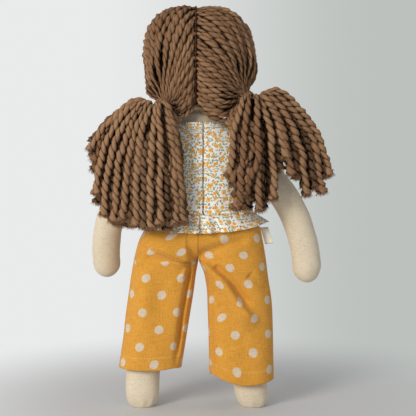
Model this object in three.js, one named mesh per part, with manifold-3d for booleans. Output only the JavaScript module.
// A cloth doll with yarn hair in two bunches, a sleeveless blouse and wide trousers.
// Millimetres, +Z up. The doll faces -Y, its left is +X, and it stands on its soles at Z = 0.

import * as THREE from "three";
import { mergeVertices } from "three/addons/utils/BufferGeometryUtils.js";
import Module from "manifold-3d";

const wasm = await Module();
wasm.setup();

// Cloth, thread and clearances
const clothThickness = 1.2;
const touchGap = 0.35; // left between pieces that touch
const stuffingGap = 0.3; // between a cover and its filling
const runningGap = 0.6; // between pieces that turn on each other
const threadThickness = 1.2;
const shortestEdge = 0.05; // no piece's surface has a shorter one

// How far the doll's own middle plane lies from the middle of its whole breadth
const middleX = 14;

// Legs and feet
const hipHeight = 160;
const hipSpacing = 67.7;
const footSpacing = 118;
const legWidth = 37;
const legDepth = 34;
const hipRoundRadius = 26;
const toeRounding = 24;
const toeBluntness = 0.65; // 1 is an ellipse, less is blunter
const toeTip = 0.05; // share of the leg's size that its lowest ring keeps
const kneeHeight = 80;
const soleFlat = 5; // cut off the rounded toe, which leaves a flat about 24 mm wide

// Torso
const torsoWidth = 106;
const torsoDepth = 50;
const waistWidth = 103;
const shoulderWidth = 98;
const torsoFoot = 12; // its lower edge, above the hip line
const torsoFootDrawIn = [7, 5]; // across and in depth, on each side
const flankRise = 40; // its fullest level, above the hip line
const sideDrop = 27; // where its sides are full again, below the shoulder line
const armpitDrop = 10; // below the shoulder line
const armpitDrawIn = [2, 1];
const shoulderCurve = [
  // above the shoulder line, then drawn in across and in depth, on each side
  [0, 0, 2],
  [12, 0, 5],
  [18, 2, 7],
  [25, 10.5, 7],
];
const neckFootDrop = 1; // the foot of the neck, below the middle of the neck ball
const neckRootRise = 2; // the top of the torso's own cloth, inside the neck
const neckRootDrawIn = [4, 2];
const hipToShoulder = 112;
const shoulderToNeck = 34;
const neckBaseWidth = 50;
const neckBaseDepth = 41;
const neckBallRadius = 19.5;
const neckSeamRise = 8.5; // above the middle of the neck ball

// Arms
const shoulderSpacing = 100;
const shoulderBallRadius = 15;
const armWidth = 31;
const armDepth = 28;
const armReach = 138; // from the shoulder down to the tip of the hand
const armSpread = 66; // how far the hand stands out from the shoulder
const armBow = 2.4; // how strongly the arm curves outwards
const handRounding = 18.6;
const handTip = 0.2; // share of the arm's size that its last ring keeps
const leftArmTurn = 6.5; // degrees that the left arm hangs closer to the body
const leftArmForward = 18; // degrees that the left arm hangs forward
const shoulderSeamInset = 9;
const armholeRadius = 18.5;

// Head
const headWidth = 102;
const headDepth = 84;
const headHeight = 108;
const headForward = 2;
const headRise = 7; // its lower end, above the middle of the neck ball
const headSquareness = 2.5;

// Slits in the seams that each cover is stuffed through, later sewn shut
const slitLength = 18;
const slitWidth = 2;
const torsoSlitRise = 10; // above the waist of the blouse
const armSlitDrop = 62; // below the shoulder

// Face
const eyeSpacing = 34;
const eyeWidth = 7;
const eyeDrop = 8;
const mouthRadius = 10;
const mouthDrop = 27;
const mouthHalfAngle = 42;
const embroideryThickness = 0.9;

// Hair
const hairThickness = 9.5;
const partingThickness = 5.5;
const strandGroove = 1.6;
const locksPerSide = 12;
const frontHairline = -52; // degrees from the crown towards the forehead
const napeHairline = 138; // degrees from the crown towards the nape
const partingHalfWidth = 1.4;
const partingFade = 0.2; // share of the way to the tie over which the hair grows thick
const hairUnderlap = 21; // drawn this far inside the head before it is cut to its skin
const stitchMargin = 0.03; // share of the parting left free at each end
const bunchRootRadius = 7;
const cupRise = 1.6; // how far the gathered strands rise round the root of the bunch
const tieThickness = 4;
const leftTiePlace = [36, 34, -46]; // the way to it from the middle of the head
const rightTiePlace = [-49, 24, -38];
const lockRadius = 6;
const lockRootRadius = 4;
const lockSteps = 5;
const lockGroove = 2; // thickness left between two locks
const lockRise = 15; // how far the outermost lock climbs above its tie
const lockReach = 80; // how far the outermost lock stands out from its tie
const lockSpread = 1.5; // how late across the bunch that climb begins
const lockDroop = 0.15; // share of its drop that the innermost lock falls at once
const lockNear = { across: 0.3, back: 0.4, proud: 3 }; // where a lock bends first
const lockFar = { across: 0.8, back: 0.9, proud: 2, down: 0.35 }; // and where it turns down
const lockSwelling = 0.33; // share of its length over which a lock grows thick
const lockStart = 0.03; // share of its length that lies inside the root
const grooveEnd = 0.85; // share of their length along which locks lie side by side
const grooveFade = 0.2; // share of it over which they part

// Blouse
const blouseSideRoom = 4.5;
const blouseWaistRise = 49; // above the hip line
const necklineDrop = 0.5; // below the middle of the neck ball
const placketOverlap = 9;
const tapeWidth = 7;
const tapeThickness = 0.8;
const tapeEndMargin = 8;
const frillLength = 21;
const frillSideRise = 9; // how much shorter the frill is at the sides
const frillFlare = 14.5;
const frillBackFlare = 4;
const frillWave = 1.5;
const frillWaves = 14;

// Trousers
const trouserWidth = 67; // of each leg, at the hip
const hemWidth = 68;
const hemDepth = 52;
const leftHemMiddle = 52;
const rightHemMiddle = 47.5;
const leftHemHeight = 41;
const rightHemHeight = 27;
const seatWidth = 135;
const seatDepth = 61;
const seatFoot = 3; // its lower edge, above the hip line
const seatSquareness = [3.6, 3.4, 2.6]; // at its lower edge, its middle and the label
const seatMiddle = 20; // above the hip line
const seatTaper = [0, 0.2, 1.7]; // drawn in across at the same three levels
const trouserRise = 48; // its waist, above the hip line
const elasticHeight = 8;
const elasticThickness = 1;
const legRoom = 2.4; // kept free above the rounded top of each leg
const sweepBack = 2; // how far behind the hip line that room reaches
const foldDepth = 2.5;
const foldCount = 5;

// Label in the side seam
const labelWidth = 8.5;
const labelHeight = 18;
const labelThickness = 1;
const labelSlant = 5.2;
const labelRise = 33; // its top edge, above the hip line

// Levels worked out from the sizes
const shoulderHeight = hipHeight + hipToShoulder;
const neckHeight = shoulderHeight + shoulderToNeck;
const headMiddle = neckHeight + headRise + headHeight / 2;
const blouseWaist = hipHeight + blouseWaistRise;
const neckline = neckHeight - necklineDrop;
const trouserWaist = hipHeight + trouserRise;
const legClearRadius = hipRoundRadius + runningGap;

const degrees = Math.PI / 180;
const farAway = 400;
const bodySides = 18; // points round the torso and everything worn on it
const ballSides = 12;
const cupSides = 24; // of the cup that a bunch's root swings in
const rodSides = 24;
const roundness = 2.3; // of body sections: 2 is an ellipse, more is squarer
const sidesOfDoll = [
  ["left", 1],
  ["right", -1],
];

const finishes = {
  cloth: new THREE.MeshStandardMaterial({ color: 0xdccbb0, roughness: 0.95 }),
  stuffing: new THREE.MeshStandardMaterial({ color: 0xf4f2ec, roughness: 1 }),
  yarn: new THREE.MeshStandardMaterial({ color: 0x8a6348, roughness: 1 }),
  thread: new THREE.MeshStandardMaterial({ color: 0xe6dcc8, roughness: 0.8 }),
  brownThread: new THREE.MeshStandardMaterial({ color: 0x5d3f2b, roughness: 0.8 }),
  calico: new THREE.MeshStandardMaterial({ color: 0xf1ece0, roughness: 0.9 }),
  mustard: new THREE.MeshStandardMaterial({ color: 0xdfa445, roughness: 0.92 }),
  elastic: new THREE.MeshStandardMaterial({ color: 0xf0efe9, roughness: 0.7 }),
  tape: new THREE.MeshStandardMaterial({ color: 0xeeeae0, roughness: 0.9 }),
  label: new THREE.MeshStandardMaterial({ color: 0xe9dfc6, roughness: 0.85 }),
};

// Solids, joins and cuts

function solidOf(geometry) {
  const bare = geometry.clone();
  bare.deleteAttribute("normal");
  bare.deleteAttribute("uv");
  const merged = mergeVertices(bare, 1e-4);
  const corners = merged.index.array;
  const faces = [];
  for (let i = 0; i < corners.length; i += 3) {
    const [a, b, c] = [corners[i], corners[i + 1], corners[i + 2]];
    if (a !== b && b !== c && c !== a) {
      faces.push(a, b, c);
    }
  }
  return new wasm.Manifold(
    new wasm.Mesh({
      numProp: 3,
      vertProperties: new Float32Array(merged.attributes.position.array),
      triVerts: new Uint32Array(faces),
    }),
  );
}

// Cuts leave a few corners almost on top of each other: these become one, and the faces that
// shrink to nothing go.
function withoutShortEdges(points, corners) {
  const standIn = points.map((_, i) => i);
  const found = (i) => (standIn[i] === i ? i : found(standIn[i]));
  let kept = [...corners];
  let joined = true;
  while (joined) {
    joined = false;
    const busy = new Set();
    for (let i = 0; i < kept.length; i += 3) {
      const face = kept.slice(i, i + 3);
      for (const [a, b] of [face, [face[1], face[2]], [face[2], face[0]]]) {
        const close = points[a].distanceTo(points[b]) < shortestEdge;
        if (close && !busy.has(a) && !busy.has(b)) {
          standIn[Math.max(a, b)] = Math.min(a, b);
          face.forEach((corner) => busy.add(corner));
          joined = true;
        }
      }
    }
    const moved = kept.map(found);
    kept = [];
    for (let i = 0; i < moved.length; i += 3) {
      const [a, b, c] = moved.slice(i, i + 3);
      if (a !== b && b !== c && c !== a) {
        kept.push(a, b, c);
      }
    }
  }
  return kept;
}

function meshOf(name, solid, material) {
  const cut = solid.getMesh();
  const points = [];
  for (let i = 0; i < cut.numVert; i++) {
    points.push(new THREE.Vector3().fromArray(cut.vertProperties, i * cut.numProp));
  }
  const geometry = new THREE.BufferGeometry().setFromPoints(points);
  geometry.setIndex(withoutShortEdges(points, cut.triVerts));
  geometry.computeVertexNormals();
  const mesh = new THREE.Mesh(geometry, material);
  mesh.name = name;
  return mesh;
}

function join(solids) {
  return solids.reduce((whole, piece) => whole.add(piece));
}

function block(x0, x1, y0, y1, z0, z1) {
  const box = new THREE.BoxGeometry(x1 - x0, y1 - y0, z1 - z0);
  box.translate((x0 + x1) / 2, (y0 + y1) / 2, (z0 + z1) / 2);
  return solidOf(box);
}

function ball(centre, radius, sides = ballSides) {
  const sphere = new THREE.SphereGeometry(radius, sides, sides / 2);
  sphere.translate(centre.x, centre.y, centre.z);
  return solidOf(sphere);
}

function hipRod(radius) {
  const rod = new THREE.CylinderGeometry(radius, radius, 2 * farAway, rodSides);
  rod.rotateZ(Math.PI / 2);
  rod.translate(0, 0, hipHeight);
  return solidOf(rod);
}

// Shapes are made on the doll's left; its right is their mirror image.
function sided(solid, side) {
  return side > 0 ? solid : solid.mirror([1, 0, 0]);
}

function blend(from, to, share) {
  return from + (to - from) * share;
}

function within(share) {
  return Math.min(Math.max(share, 0), 1);
}

// A closed skin through rings of points, each ring with the same number of points, first to last.
function skinThrough(rings) {
  const count = rings[0].length;
  const last = (rings.length - 1) * count;
  const ends = [rings[0], rings[rings.length - 1]].map((loop) => {
    const sum = loop.reduce((total, p) => total.add(p), new THREE.Vector3());
    return sum.divideScalar(count);
  });
  const firstEnd = rings.length * count;
  const faces = [];
  for (let j = 0; j < count; j++) {
    const next = (j + 1) % count;
    for (let i = 0; i < last; i += count) {
      faces.push(i + j, i + next, i + next + count, i + j, i + next + count, i + j + count);
    }
    faces.push(firstEnd, next, j);
    faces.push(firstEnd + 1, last + j, last + next);
  }
  const geometry = new THREE.BufferGeometry();
  geometry.setFromPoints([...rings.flat(), ...ends]);
  geometry.setIndex(faces);
  return geometry;
}

// A level ring with rounded corners, pushed out by wave(angle) and lifted by lift(angle).
function levelRing(z, halfWidth, halfDepth, sides, options = {}) {
  const { middle = 0, squareness = roundness, wave = () => 0, lift = () => 0 } = options;
  const loop = [];
  for (let j = 0; j < sides; j++) {
    const angle = (2 * Math.PI * j) / sides;
    const c = Math.cos(angle);
    const s = Math.sin(angle);
    const corner = Math.abs(c) ** squareness + Math.abs(s) ** squareness;
    const reach = corner ** (-1 / squareness);
    const x = middle + (halfWidth + wave(angle)) * c * reach;
    const y = (halfDepth + wave(angle)) * s * reach;
    loop.push(new THREE.Vector3(x, y, z + lift(angle)));
  }
  return loop;
}

// A solid through stations, each a height, a half width, a half depth and, if wanted, a squareness.
// An inset one is smaller all round; open ends run past the outer solid, so that they cut through.
function lofted(stations, inset = 0, options = {}) {
  const { sides = bodySides, openBelow = true, openAbove = true } = options;
  const rings = stations.map(([z, halfWidth, halfDepth, squareness], i) => {
    let level = z;
    if (inset > 0 && i === 0) {
      level += openBelow ? -clothThickness : inset;
    }
    if (inset > 0 && i === stations.length - 1) {
      level += openAbove ? clothThickness : -inset;
    }
    return levelRing(level, halfWidth - inset, halfDepth - inset, sides, { squareness });
  });
  return solidOf(skinThrough(rings));
}

// The half width and half depth of stations at a height between them.
function sectionAt(stations, z) {
  const next = stations.findIndex((station) => station[0] >= z);
  const upper = stations[Math.max(next, 1)];
  const lower = stations[Math.max(next, 1) - 1];
  const share = within((z - lower[0]) / (upper[0] - lower[0]));
  return [blend(lower[1], upper[1], share), blend(lower[2], upper[2], share)];
}

// Legs

const legSides = 12;
const toeSteps = 4;

function legMiddle(z) {
  return blend(hipSpacing, footSpacing, within((hipHeight - z) / hipHeight)) / 2;
}

// Rounds the part of a leg above the hip line, so that it can turn about that line.
function roundTop(solid, radius) {
  const above = block(-farAway, farAway, -farAway, farAway, hipHeight, hipHeight + farAway);
  return solid.subtract(above.subtract(hipRod(radius)));
}

function legShape(inset) {
  const bottom = inset > 0 ? inset : -soleFlat;
  const thinner = Math.max(inset, 0);
  const rings = [];
  for (let i = 0; i <= toeSteps; i++) {
    const turn = (i / toeSteps) * (Math.PI / 2);
    const z = bottom + (toeRounding - thinner) * (1 - Math.cos(turn));
    const share = Math.max(Math.sin(turn) ** toeBluntness, toeTip);
    const options = { middle: legMiddle(z) };
    rings.push(levelRing(z, (legWidth / 2 - inset) * share, (legDepth / 2 - inset) * share, legSides, options));
  }
  for (const z of [kneeHeight, hipHeight, hipHeight + hipRoundRadius]) {
    const options = { middle: legMiddle(z) };
    rings.push(levelRing(z, legWidth / 2 - inset, legDepth / 2 - inset, legSides, options));
  }
  const underFloor = block(-farAway, farAway, -farAway, farAway, -farAway, 0);
  return roundTop(solidOf(skinThrough(rings)).subtract(underFloor), hipRoundRadius - thinner);
}

function legCover() {
  const half = slitLength / 2;
  const middle = hipSpacing / 2;
  const top = hipHeight + hipRoundRadius;
  const slit = block(middle - half, middle + half, -slitWidth / 2, slitWidth / 2, hipHeight, top);
  return legShape(0).subtract(legShape(clothThickness)).subtract(slit);
}

// The space that a leg and its trouser leg sweep from standing to sitting, grown by extra.
function legSweep(extra = 0) {
  const top = hipHeight + hipRoundRadius + legRoom + extra;
  const front = block(-farAway, farAway, -farAway, sweepBack + extra, -farAway, top);
  return hipRod(legClearRadius + extra).add(front);
}

// Torso, with the round stump that the head sits on

const neckPivot = new THREE.Vector3(0, 0, neckHeight);
const socketRoom = threadThickness + 5 * touchGap;

function shoulderPivot(side) {
  return new THREE.Vector3((side * shoulderSpacing) / 2, 0, shoulderHeight);
}

function drawnIn(z, width, depth, [across, inDepth] = [0, 0]) {
  return [z, width / 2 - across, depth / 2 - inDepth];
}

const torsoStations = [
  drawnIn(hipHeight + torsoFoot, torsoWidth, torsoDepth, torsoFootDrawIn),
  drawnIn(hipHeight + flankRise, torsoWidth, torsoDepth),
  drawnIn(blouseWaist, waistWidth, torsoDepth),
  drawnIn(shoulderHeight - sideDrop, torsoWidth, torsoDepth),
  drawnIn(shoulderHeight - armpitDrop, torsoWidth, torsoDepth, armpitDrawIn),
  ...shoulderCurve.map(([rise, ...inwards]) => {
    return drawnIn(shoulderHeight + rise, shoulderWidth, torsoDepth, inwards);
  }),
  drawnIn(neckHeight - neckFootDrop, neckBaseWidth, neckBaseDepth),
  drawnIn(neckHeight + neckRootRise, neckBaseWidth, neckBaseDepth, neckRootDrawIn),
];

function torsoShape(inset) {
  const trunk = lofted(torsoStations, inset, { openBelow: false, openAbove: false });
  let solid = trunk.add(ball(neckPivot, neckBallRadius - inset));
  for (const [, side] of sidesOfDoll) {
    solid = solid.subtract(ball(shoulderPivot(side), shoulderBallRadius + socketRoom + inset));
  }
  return solid.subtract(legSweep(inset));
}

function torsoCover() {
  const low = blouseWaist + torsoSlitRise;
  const half = slitWidth / 2;
  const slit = block(torsoWidth / 4, farAway, -half, half, low, low + slitLength);
  return torsoShape(0).subtract(torsoShape(clothThickness)).subtract(slit);
}

function neckSeam() {
  const reach = neckBallRadius + touchGap + threadThickness / 2;
  const radius = Math.sqrt(reach ** 2 - neckSeamRise ** 2);
  const loop = new THREE.TorusGeometry(radius, threadThickness / 2, 5, 20);
  loop.translate(0, 0, neckHeight + neckSeamRise);
  return solidOf(loop);
}

// Arms

const armSides = 10;
const armSteps = [0, 0.1, 0.22, 0.4, 0.62, 0.82]; // shares of the arm's reach
const handSteps = 3;

// The middle line of a right arm, from the shoulder, as if it stood on the doll's left.
function armPath(share) {
  return new THREE.Vector3(armSpread * (1 - (1 - share) ** armBow), 0, -armReach * share);
}

// Hangs a solid made down from the origin at the left shoulder, as the arm on that side hangs.
function hung(solid, side) {
  const [forward, closer] = side > 0 ? [leftArmForward, leftArmTurn] : [0, 0];
  const pivot = shoulderPivot(1);
  return solid
    .rotate([0, closer, 0])
    .rotate([-forward, 0, 0])
    .translate([pivot.x, pivot.y, pivot.z]);
}

function armShape(inset, side) {
  const end = 1 - inset / armReach;
  const shares = [...armSteps];
  for (let i = 0; i < handSteps; i++) {
    const turn = (i / handSteps) * (Math.PI / 2);
    shares.push(end - (handRounding / armReach) * (1 - Math.sin(turn)));
  }
  shares.push(end);
  const rings = shares.map((share) => {
    const fromTip = within(((end - share) * armReach) / handRounding);
    const closing = Math.max(Math.sqrt(1 - (1 - fromTip) ** 2), handTip);
    const here = armPath(share);
    const ahead = here.clone().sub(armPath(share - 0.01)).normalize();
    const across = new THREE.Vector3(-ahead.z, 0, ahead.x).multiplyScalar(armWidth / 2 - inset);
    const loop = [];
    for (let j = 0; j < armSides; j++) {
      const angle = (2 * Math.PI * j) / armSides;
      const point = here.clone().addScaledVector(across, closing * Math.cos(angle));
      point.y += closing * (armDepth / 2 - inset) * Math.sin(angle);
      loop.push(point);
    }
    return loop;
  });
  const clear = blouseHalfWidth + runningGap + inset;
  const outside = block(clear, farAway, -farAway, farAway, 0, 2 * farAway);
  return hung(solidOf(skinThrough(rings.reverse())), side)
    .intersect(outside)
    .add(ball(shoulderPivot(1), shoulderBallRadius - inset));
}

// The slit is on the inside of the arm, towards the torso.
function armCover(side) {
  const half = slitWidth / 2;
  const middle = armPath(armSlitDrop / armReach).x;
  const slit = hung(block(0, middle, -half, half, -armSlitDrop, slitLength - armSlitDrop), side);
  return armShape(0, side).subtract(armShape(clothThickness, side)).subtract(slit);
}

function shoulderSeam() {
  const reach = shoulderBallRadius + touchGap + threadThickness / 2;
  const radius = Math.sqrt(reach ** 2 - shoulderSeamInset ** 2);
  const loop = new THREE.TorusGeometry(radius, threadThickness / 2, 5, 16);
  loop.rotateY(Math.PI / 2);
  loop.translate(shoulderSpacing / 2 - shoulderSeamInset, 0, shoulderHeight);
  return solidOf(loop);
}

// Head

const headSides = 18;
const headCentre = new THREE.Vector3(0, -headForward, headMiddle);

// The point in a direction from the middle of the head, on its outside grown by extra.
function onHead(direction, extra) {
  const halves = [headWidth / 2 + extra, headDepth / 2 + extra, headHeight / 2 + extra];
  const size = direction
    .toArray()
    .reduce((sum, part, axis) => sum + Math.abs(part / halves[axis]) ** headSquareness, 0);
  return direction.clone().multiplyScalar(size ** (-1 / headSquareness)).add(headCentre);
}

function headBlank(extra) {
  const sphere = new THREE.SphereGeometry(1, headSides, headSides / 2);
  sphere.rotateX(Math.PI / 2);
  const place = sphere.attributes.position;
  for (let i = 0; i < place.count; i++) {
    const direction = new THREE.Vector3().fromBufferAttribute(place, i);
    const p = onHead(direction, extra);
    place.setXYZ(i, p.x, p.y, p.z);
  }
  return solidOf(sphere);
}

function headShape(inset) {
  return headBlank(-inset).subtract(ball(neckPivot, neckBallRadius + socketRoom + inset));
}

function headCover() {
  const half = slitLength / 2;
  const slit = block(-half, half, -slitWidth / 2, slitWidth / 2, headMiddle, 2 * farAway);
  return headShape(0).subtract(headShape(clothThickness)).subtract(slit);
}

// Embroidery lies on the face as a patch of even thickness.
function onFace(outline) {
  return headBlank(touchGap + embroideryThickness).subtract(headBlank(touchGap)).intersect(outline);
}

function eye() {
  const disc = new THREE.CylinderGeometry(eyeWidth / 2, eyeWidth / 2, farAway, 16);
  disc.translate(eyeSpacing / 2, -farAway / 2, headMiddle - eyeDrop);
  return onFace(solidOf(disc));
}

function mouth() {
  const down = -Math.PI / 2;
  const half = mouthHalfAngle * degrees;
  const smile = new THREE.Shape();
  smile.absarc(0, 0, mouthRadius, down - half, down + half, false);
  smile.absarc(0, 0, mouthRadius - threadThickness, down + half, down - half, true);
  const options = { depth: farAway, bevelEnabled: false, curveSegments: 6 };
  const arc = new THREE.ExtrudeGeometry(smile, options);
  arc.rotateX(Math.PI / 2);
  arc.translate(0, 0, headMiddle - mouthDrop + mouthRadius);
  return onFace(solidOf(arc));
}

// Hair: each side is combed from the parting to its tie

const tieDirections = new Map([
  [1, new THREE.Vector3(...leftTiePlace).normalize()],
  [-1, new THREE.Vector3(...rightTiePlace).normalize()],
]);

function partingDirection(share) {
  const angle = blend(frontHairline, napeHairline, share) * degrees;
  return new THREE.Vector3(0, Math.sin(angle), Math.cos(angle));
}

function turnBetween(from, to, share) {
  const whole = from.angleTo(to);
  const start = from.clone().multiplyScalar(Math.sin((1 - share) * whole));
  return start.addScaledVector(to, Math.sin(share * whole)).normalize();
}

const combSteps = 7;
const stitchSteps = 16;
const tieLift = hairThickness + touchGap + tieThickness / 2;
const bunchLift = tieLift + tieThickness / 2 + touchGap + lockRadius;

function bunchPivot(side) {
  return onHead(tieDirections.get(side), bunchLift);
}

// Turns a geometry made along +Z to the way that a side's hair leaves the head.
function turnedOut(geometry, side) {
  const upwards = new THREE.Vector3(0, 0, 1);
  const turn = new THREE.Quaternion().setFromUnitVectors(upwards, tieDirections.get(side));
  return geometry.applyQuaternion(turn);
}

// The gathered strands that pass through the tie, hollowed at the end for the bunch to swing in
function hairStem(side) {
  const length = tieLift + tieThickness / 2 + cupRise;
  const stem = new THREE.CylinderGeometry(bunchRootRadius, bunchRootRadius, length, ballSides);
  stem.rotateX(Math.PI / 2);
  turnedOut(stem, side);
  const middle = onHead(tieDirections.get(side), length / 2);
  stem.translate(middle.x, middle.y, middle.z);
  return solidOf(stem).subtract(ball(bunchPivot(side), bunchRootRadius + touchGap, cupSides));
}

function hairTie(side) {
  const radius = bunchRootRadius + touchGap + tieThickness / 2;
  const loop = turnedOut(new THREE.TorusGeometry(radius, tieThickness / 2, 6, ballSides), side);
  const centre = onHead(tieDirections.get(side), tieLift);
  loop.translate(centre.x, centre.y, centre.z);
  return solidOf(loop);
}

function hairSide(side) {
  const acrossSteps = locksPerSide * 2;
  const layerAt = (lift) => {
    const rows = [];
    for (let i = 0; i <= acrossSteps; i++) {
      for (let k = 0; k <= combSteps; k++) {
        const down = k / combSteps;
        const from = partingDirection(i / acrossSteps);
        const p = onHead(turnBetween(from, tieDirections.get(side), down), lift(i, down));
        p.x += (side * (1 - down) * touchGap) / 2;
        rows.push(p);
      }
    }
    return rows;
  };
  const outside = layerAt((i, down) => {
    const groove = i % 2 === 0 && down < 1 ? strandGroove : 0;
    return blend(partingThickness, hairThickness, within(down / partingFade)) - groove;
  });
  const inside = layerAt(() => -hairUnderlap);
  const row = combSteps + 1;
  const under = outside.length;
  const faces = [];
  const quad = (a, b, c, d) => faces.push(a, b, c, a, c, d);
  for (let i = 0; i < acrossSteps; i++) {
    for (let k = 0; k < combSteps; k++) {
      const a = i * row + k;
      quad(a, a + 1, a + row + 1, a + row);
      quad(under + a, under + a + row, under + a + row + 1, under + a + 1);
    }
    quad(i * row, (i + 1) * row, under + (i + 1) * row, under + i * row);
  }
  const lastRow = acrossSteps * row;
  for (let k = 0; k < combSteps; k++) {
    quad(k, under + k, under + k + 1, k + 1);
    quad(lastRow + k, lastRow + k + 1, under + lastRow + k + 1, under + lastRow + k);
  }
  const geometry = new THREE.BufferGeometry().setFromPoints([...outside, ...inside]);
  geometry.setIndex(side > 0 ? faces : faces.toReversed());
  return solidOf(geometry).add(hairStem(side)).subtract(headBlank(touchGap));
}

function partingStitch() {
  const lift = partingThickness + 3 * touchGap;
  const loops = [];
  for (let i = 0; i <= stitchSteps; i++) {
    const share = blend(stitchMargin, 1 - stitchMargin, i / stitchSteps);
    const low = onHead(partingDirection(share), lift);
    const high = onHead(partingDirection(share), lift + threadThickness);
    loops.push([
      new THREE.Vector3(-partingHalfWidth, low.y, low.z),
      new THREE.Vector3(partingHalfWidth, low.y, low.z),
      new THREE.Vector3(partingHalfWidth, high.y, high.z),
      new THREE.Vector3(-partingHalfWidth, high.y, high.z),
    ]);
  }
  return solidOf(skinThrough(loops.reverse()));
}

// Bunches: each hangs from its tie as a fan of locks, listed from its inner edge outwards.
// The tips are chosen by hand: across, back and up from the middle of the hip line.
const lockTips = new Map([
  [
    1,
    [
      [12, 45, 42],
      [27, 46, 37],
      [43, 45, 40],
      [59, 43, 38],
      [75, 32, 40],
      [91, 28, 44],
      [104, 28, 60],
      [106, 26, 96],
      [109, 26, 122],
    ],
  ],
  [
    -1,
    [
      [-32, 43, 94],
      [-45, 44, 58],
      [-61, 40, 56],
      [-75, 32, 60],
      [-87, 28, 106],
      [-98, 27, 94],
      [-112, 27, 72],
      [-126, 27, 76],
      [-137, 26, 90],
    ],
  ],
]);

// Locks near the middle of a bunch fall straight away, the outer ones climb before they fall.
function lockPath(pivot, tip) {
  const across = tip.x - pivot.x;
  const drop = pivot.z - tip.z;
  const outer = within(Math.abs(across) / lockReach) ** lockSpread;
  const climb = blend(-lockDroop * drop, lockRise, outer);
  const bend = (place, z) => {
    const y = blend(pivot.y, tip.y, place.back) + place.proud;
    return new THREE.Vector3(pivot.x + across * place.across, y, z);
  };
  const near = bend(lockNear, pivot.z + climb);
  const far = bend(lockFar, pivot.z - drop * lockFar.down);
  return new THREE.CatmullRomCurve3([pivot, near, far, tip]);
}

// The part of a fan between two neighbouring locks, both included, with a groove between them.
function lockPair(paths, i, side) {
  const rings = [];
  for (let k = 0; k <= lockSteps; k++) {
    const share = blend(lockStart, 1, k / lockSteps);
    const radius = blend(lockRootRadius, lockRadius, within(share / lockSwelling));
    const above = blend(share, grooveEnd, within((share - 1 + grooveFade) / grooveFade));
    const [inner, outer] = [paths[i].getPoint(share), paths[i + 1].getPoint(share)];
    const web = paths[i].getPoint(above).add(paths[i + 1].getPoint(above)).divideScalar(2);
    const across = outer.clone().sub(inner).setY(0).normalize().multiplyScalar(radius);
    const crest = new THREE.Vector3(0, radius, 0);
    const groove = new THREE.Vector3(0, lockGroove / 2, 0);
    const ring = [
      inner.clone().sub(across),
      inner.clone().add(crest),
      web.clone().add(groove),
      outer.clone().add(crest),
      outer.clone().add(across),
      outer.clone().sub(crest),
      web.clone().sub(groove),
      inner.clone().sub(crest),
    ];
    rings.push(side > 0 ? ring : ring.reverse());
  }
  return solidOf(skinThrough(rings));
}

function bunch(side) {
  const pivot = bunchPivot(side);
  const paths = lockTips.get(side).map(([x, y, z]) => {
    return lockPath(pivot, new THREE.Vector3(x, y, hipHeight + z));
  });
  const pairs = paths.slice(1).map((_, i) => lockPair(paths, i, side));
  return join(pairs).add(ball(pivot, bunchRootRadius));
}

// Blouse, with a closure of two tapes in the overlap down its back

const seamHalfGap = touchGap / 2;
const hookLayer = clothThickness + touchGap;
const loopLayer = hookLayer + tapeThickness + touchGap;
const flapLayer = loopLayer + tapeThickness + touchGap;
const flapBack = flapLayer + clothThickness;
const blouseHalfWidth = torsoWidth / 2 + blouseSideRoom;
const blouseDepthRoom = flapBack + 3 * touchGap;

// The blouse hangs straight up to the armpits and then closes in on the shoulders.
const blouseLevels = torsoStations.map(([z]) => z).filter((z) => z > blouseWaist && z < neckline);
const blouseStations = [blouseWaist, ...blouseLevels, neckline].map((z) => {
  const [halfWidth, halfDepth] = sectionAt(torsoStations, z);
  const hug = within((z - shoulderHeight) / shoulderCurve[1][0]);
  const sideRoom = blend(blouseSideRoom, clothThickness + touchGap, hug);
  const loose = z < shoulderHeight - armpitDrop;
  return [z, loose ? blouseHalfWidth : halfWidth + sideRoom, halfDepth + blouseDepthRoom];
});

function blouseShape(inset) {
  return lofted(blouseStations, inset);
}

function blouseLayer(from, to) {
  const heights = block(-farAway, farAway, -farAway, farAway, blouseWaist, neckline);
  let layer = blouseShape(from).subtract(blouseShape(to)).intersect(heights);
  for (const [, side] of sidesOfDoll) {
    layer = layer.subtract(ball(shoulderPivot(side), armholeRadius));
  }
  return layer;
}

// All heights between two distances across, behind or in front of the side seams.
function strip(x0, x1, behind) {
  const depth = behind ? [seamHalfGap, farAway] : [-farAway, -seamHalfGap];
  return block(x0, x1, ...depth, 0, 2 * farAway);
}

function blouseFront() {
  return blouseLayer(0, clothThickness).intersect(strip(-farAway, farAway, false));
}

function blouseBackLeft() {
  return blouseLayer(0, clothThickness).intersect(strip(-placketOverlap / 2, farAway, true));
}

// The right back steps inwards at its edge, to lie under the left one.
function blouseBackRight() {
  const edge = -placketOverlap / 2 - touchGap;
  const fold = edge - 2 * clothThickness;
  return join([
    blouseLayer(0, clothThickness).intersect(strip(-farAway, edge, true)),
    blouseLayer(0, flapBack).intersect(strip(fold, edge, true)),
    blouseLayer(flapLayer, flapBack).intersect(strip(fold, placketOverlap / 2, true)),
  ]);
}

function closureTape(layer) {
  const heights = [blouseWaist + tapeEndMargin, neckline - tapeEndMargin];
  const place = block(-tapeWidth / 2, tapeWidth / 2, 0, farAway, ...heights);
  return blouseShape(layer).subtract(blouseShape(layer + tapeThickness)).intersect(place);
}

const pointsPerWave = 4;

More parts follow.
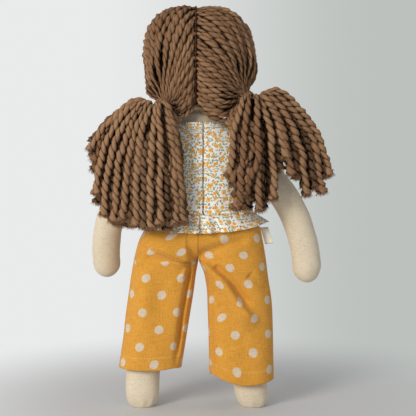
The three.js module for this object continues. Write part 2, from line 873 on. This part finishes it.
// The frill below the waist seam waves round the hips and is shorter at the sides.
function frillShape(inset) {
  const [, waistHalfWidth, waistHalfDepth] = blouseStations[0];
  const top = blouseWaist - touchGap;
  const rings = [0, 1].map((share) => {
    const flare = 1 - share;
    const past = inset > 0 ? clothThickness * (share > 0 ? 2 : -2) : 0;
    return levelRing(
      blend(blouseWaist - frillLength, top, share) + past,
      waistHalfWidth + frillFlare * flare - inset,
      waistHalfDepth + frillBackFlare * flare - inset,
      frillWaves * pointsPerWave,
      {
        wave: (angle) => frillWave * flare * Math.cos(frillWaves * angle),
        lift: (angle) => frillSideRise * flare * Math.cos(angle) ** 2,
      },
    );
  });
  return solidOf(skinThrough(rings));
}

function frillPanel(x0, x1, behind) {
  return frillShape(0).subtract(frillShape(clothThickness)).intersect(strip(x0, x1, behind));
}

// Trousers

const trouserSides = 20;
const trouserSteps = [0, 0.3, 0.65, 0.9, 1]; // shares of the way from the hem to the hip line
const waistRoom = clothThickness + elasticThickness + 2 * touchGap;

function trouserLegShape(inset, side) {
  const low = side > 0 ? leftHemHeight : rightHemHeight;
  const hemMiddle = side > 0 ? leftHemMiddle : rightHemMiddle;
  const halfAtHip = (trouserWidth - touchGap) / 2;
  const rings = [...trouserSteps, 2].map((up) => {
    const share = within(1 - up);
    const z = up > 1 ? hipHeight + hipRoundRadius : blend(low, hipHeight, up);
    const past = inset > 0 && up === 0 ? -clothThickness : 0;
    const halfWidth = blend(halfAtHip, hemWidth / 2, share) - inset;
    const halfDepth = blend(hipRoundRadius, hemDepth / 2, share) - inset;
    return levelRing(z + past, halfWidth, halfDepth, trouserSides, {
      middle: blend(halfAtHip + touchGap, hemMiddle, share),
      wave: (angle) => -foldDepth * share * (0.5 - 0.5 * Math.cos(foldCount * angle)),
    });
  });
  return roundTop(solidOf(skinThrough(rings)), hipRoundRadius - inset);
}

function trouserLeg(side) {
  const shell = trouserLegShape(0, side).subtract(trouserLegShape(clothThickness, side));
  return shell.subtract(legShape(-touchGap));
}

const seatStations = [
  ...[seatFoot, seatMiddle, labelRise].map((rise, i) => {
    return [hipHeight + rise, seatWidth / 2 - seatTaper[i], seatDepth / 2, seatSquareness[i]];
  }),
  ...[trouserWaist - elasticHeight, trouserWaist].map((z) => {
    const [halfWidth, halfDepth] = sectionAt(torsoStations, z);
    return [z, halfWidth + waistRoom, halfDepth + waistRoom];
  }),
];

function seatShape(inset) {
  return lofted(seatStations, inset);
}

function trouserSeat() {
  return seatShape(0).subtract(seatShape(clothThickness)).subtract(legSweep());
}

function waistElastic() {
  const outside = clothThickness + touchGap;
  const band = seatShape(outside).subtract(seatShape(outside + elasticThickness));
  const low = trouserWaist - elasticHeight;
  return band.intersect(block(-farAway, farAway, -farAway, farAway, low, trouserWaist));
}

function sideLabel() {
  const top = hipHeight + labelRise;
  const inner = sectionAt(seatStations, top)[0] + touchGap;
  const outline = new THREE.Shape();
  outline.moveTo(inner, top);
  outline.lineTo(inner + labelSlant, top - labelHeight);
  outline.lineTo(inner + labelSlant + labelWidth, top - labelHeight);
  outline.lineTo(inner + labelWidth, top);
  const options = { depth: labelThickness, bevelEnabled: false };
  const plate = new THREE.ExtrudeGeometry(outline, options);
  plate.rotateX(Math.PI / 2);
  plate.translate(0, labelThickness / 2, 0);
  return solidOf(plate);
}

// Assembly

const doll = new THREE.Group();
doll.position.set(middleX, 0, 0);

function place(name, solid, material) {
  doll.add(meshOf(name, solid, material));
}

const filling = clothThickness + stuffingGap;

place("head_cover", headCover(), finishes.cloth);
place("head_stuffing", headShape(filling), finishes.stuffing);
place("mouth", mouth(), finishes.brownThread);
place("parting_stitch", partingStitch(), finishes.brownThread);
place("neck_seam", neckSeam(), finishes.thread);

place("torso_cover", torsoCover(), finishes.cloth);
place("torso_stuffing", torsoShape(filling), finishes.stuffing);
place("blouse_front", blouseFront(), finishes.calico);
place("blouse_back_left", blouseBackLeft(), finishes.calico);
place("blouse_back_right", blouseBackRight(), finishes.calico);
place("closure_hook_tape", closureTape(hookLayer), finishes.tape);
place("closure_loop_tape", closureTape(loopLayer), finishes.tape);
place("frill_front", frillPanel(-farAway, farAway, false), finishes.calico);
place("frill_back_left", frillPanel(seamHalfGap, farAway, true), finishes.calico);
place("frill_back_right", frillPanel(-farAway, -seamHalfGap, true), finishes.calico);
place("trouser_seat", trouserSeat(), finishes.mustard);
place("waist_elastic", waistElastic(), finishes.elastic);
place("side_label", sided(sideLabel(), -1), finishes.label);

for (const [name, side] of sidesOfDoll) {
  place("eye_" + name, sided(eye(), side), finishes.brownThread);
  place("hair_" + name, hairSide(side), finishes.yarn);
  place("hair_tie_" + name, hairTie(side), finishes.brownThread);
  place("bunch_" + name, bunch(side), finishes.yarn);
  place("arm_cover_" + name, sided(armCover(side), side), finishes.cloth);
  place("arm_stuffing_" + name, sided(armShape(filling, side), side), finishes.stuffing);
  place("shoulder_seam_" + name, sided(shoulderSeam(), side), finishes.thread);
  place("leg_cover_" + name, sided(legCover(), side), finishes.cloth);
  place("leg_stuffing_" + name, sided(legShape(filling), side), finishes.stuffing);
  place("trouser_leg_" + name, sided(trouserLeg(side), side), finishes.mustard);
}

export default doll;
